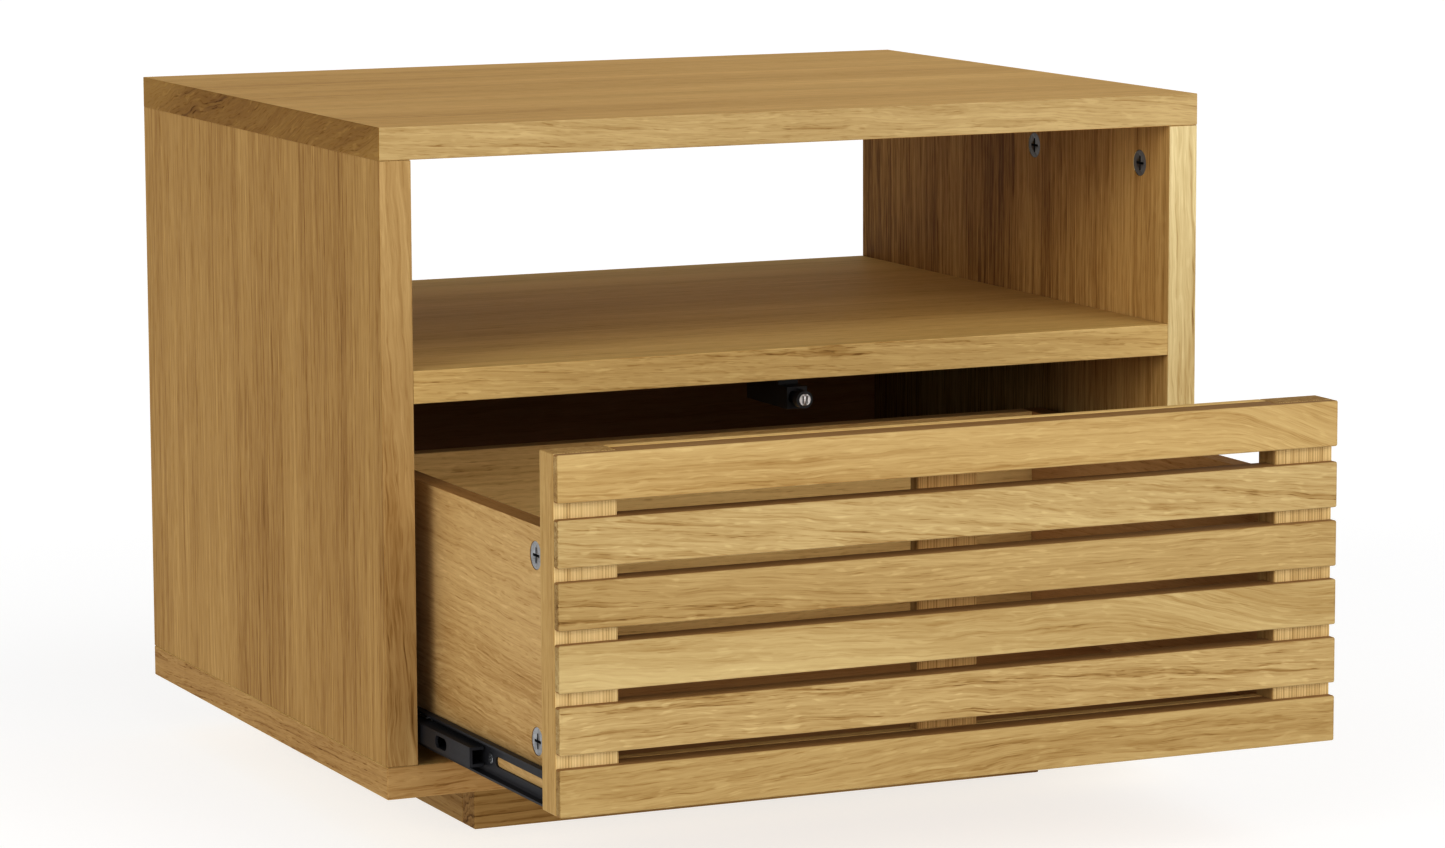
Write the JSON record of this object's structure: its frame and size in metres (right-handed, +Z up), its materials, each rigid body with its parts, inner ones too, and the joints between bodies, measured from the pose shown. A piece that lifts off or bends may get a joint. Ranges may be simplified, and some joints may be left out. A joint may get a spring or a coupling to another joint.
{
  "type": "bedside table",
  "caption": "Low oak bedside table on a recessed plinth, with an open shelf over a slatted-front drawer that runs out on ball slides past a push latch.",
  "frame": {"origin": "on the floor, under the middle of the box that the whole object fills with its drawer standing 193 mm open", "axes": "+X to the right when facing the front, +Y from the front to the back, +Z up"},
  "size_m": [0.5, 0.593, 0.4],
  "materials": {
    "oak_veneer": "satin lacquered oak veneer, straight grain",
    "oak_inside": "satin lacquered oak veneer, straight grain",
    "solid_oak": "satin lacquered solid oak",
    "drawer_floor_board": "satin veneered thin board",
    "dark_slide_steel": "dark zinc-plated rolled steel",
    "bright_steel": "bright zinc-plated steel",
    "zinc_cam": "cast zinc, dull nickel plating",
    "black_plastic": "moulded black plastic, satin",
    "magnet": "bright nickel-plated magnet face"
  },
  "bodies": {
    "cabinet": {"top_panel": "oak_veneer", "bottom_panel": "oak_veneer", "middle_shelf": "oak_veneer", "back_panel": "oak_inside", "left_side_panel": "oak_veneer", "right_side_panel": "oak_veneer", "plinth_front_rail": "oak_veneer", "plinth_back_rail": "oak_veneer", "plinth_left_rail": "oak_veneer", "plinth_right_rail": "oak_veneer", "left_front_top_cam": "zinc_cam", "left_rear_top_cam": "zinc_cam", "left_front_top_cam_bolt": "bright_steel", "left_rear_top_cam_bolt": "bright_steel", "left_slide_cabinet_member": "dark_slide_steel", "right_front_top_cam": "zinc_cam", "right_rear_top_cam": "zinc_cam", "right_front_top_cam_bolt": "bright_steel", "right_rear_top_cam_bolt": "bright_steel", "right_slide_cabinet_member": "dark_slide_steel", "latch_housing": "black_plastic"},
    "drawer": {"drawer_slat_1": "solid_oak", "drawer_slat_2": "solid_oak", "drawer_slat_3": "solid_oak", "drawer_slat_4": "solid_oak", "drawer_slat_5": "solid_oak", "drawer_slat_6": "solid_oak", "drawer_left_stile": "solid_oak", "drawer_right_stile": "solid_oak", "drawer_top_rail": "solid_oak", "drawer_bottom_rail": "solid_oak", "drawer_centre_batten": "solid_oak", "drawer_left_side": "oak_inside", "drawer_right_side": "oak_inside", "drawer_back": "oak_inside", "drawer_floor": "drawer_floor_board", "latch_strike_plate": "bright_steel", "drawer_left_upper_cam": "zinc_cam", "drawer_left_lower_cam": "zinc_cam", "drawer_left_upper_cam_bolt": "bright_steel", "drawer_left_lower_cam_bolt": "bright_steel", "left_slide_drawer_member": "dark_slide_steel", "left_slide_front_screw": "bright_steel", "left_slide_rear_screw": "bright_steel", "drawer_right_upper_cam": "zinc_cam", "drawer_right_lower_cam": "zinc_cam", "drawer_right_upper_cam_bolt": "bright_steel", "drawer_right_lower_cam_bolt": "bright_steel", "right_slide_drawer_member": "dark_slide_steel", "right_slide_front_screw": "bright_steel", "right_slide_rear_screw": "bright_steel"},
    "latch_plunger_body": {"latch_plunger": "black_plastic", "latch_magnet": "magnet"},
    "left_slide_middle": {"left_slide_middle_member": "dark_slide_steel"},
    "left_outer_cage": {"left_slide_outer_ball_cage": "bright_steel"},
    "left_inner_cage": {"left_slide_inner_ball_cage": "bright_steel"},
    "right_slide_middle": {"right_slide_middle_member": "dark_slide_steel"},
    "right_outer_cage": {"right_slide_outer_ball_cage": "bright_steel"},
    "right_inner_cage": {"right_slide_inner_ball_cage": "bright_steel"}
  },
  "joints": [
    {"name": "drawer_slide", "type": "slide", "parent": "cabinet", "child": "drawer", "axis": [0, -1, 0], "range_m": [-0.193, 0.107]},
    {"name": "left_slide_middle_travel", "type": "slide", "parent": "cabinet", "child": "left_slide_middle", "axis": [0, -1, 0], "range_m": [-0.0965, 0.0535]},
    {"name": "left_outer_cage_travel", "type": "slide", "parent": "cabinet", "child": "left_outer_cage", "axis": [0, -1, 0], "range_m": [-0.04825, 0.02675]},
    {"name": "left_inner_cage_travel", "type": "slide", "parent": "cabinet", "child": "left_inner_cage", "axis": [0, -1, 0], "range_m": [-0.14475, 0.08025]},
    {"name": "right_slide_middle_travel", "type": "slide", "parent": "cabinet", "child": "right_slide_middle", "axis": [0, -1, 0], "range_m": [-0.0965, 0.0535]},
    {"name": "right_outer_cage_travel", "type": "slide", "parent": "cabinet", "child": "right_outer_cage", "axis": [0, -1, 0], "range_m": [-0.04825, 0.02675]},
    {"name": "right_inner_cage_travel", "type": "slide", "parent": "cabinet", "child": "right_inner_cage", "axis": [0, -1, 0], "range_m": [-0.14475, 0.08025]},
    {"name": "latch_press", "type": "slide", "parent": "cabinet", "child": "latch_plunger_body", "axis": [0, 1, 0], "range_m": [0, 0.008], "stiffness_N_per_m": 150, "springref_m": -0.004}
  ],
  "couplings": [
    {"joint": "left_slide_middle_travel", "follows": "drawer_slide", "ratio": 0.5},
    {"joint": "left_outer_cage_travel", "follows": "drawer_slide", "ratio": 0.25},
    {"joint": "left_inner_cage_travel", "follows": "drawer_slide", "ratio": 0.75},
    {"joint": "right_slide_middle_travel", "follows": "drawer_slide", "ratio": 0.5},
    {"joint": "right_outer_cage_travel", "follows": "drawer_slide", "ratio": 0.25},
    {"joint": "right_inner_cage_travel", "follows": "drawer_slide", "ratio": 0.75}
  ]
}
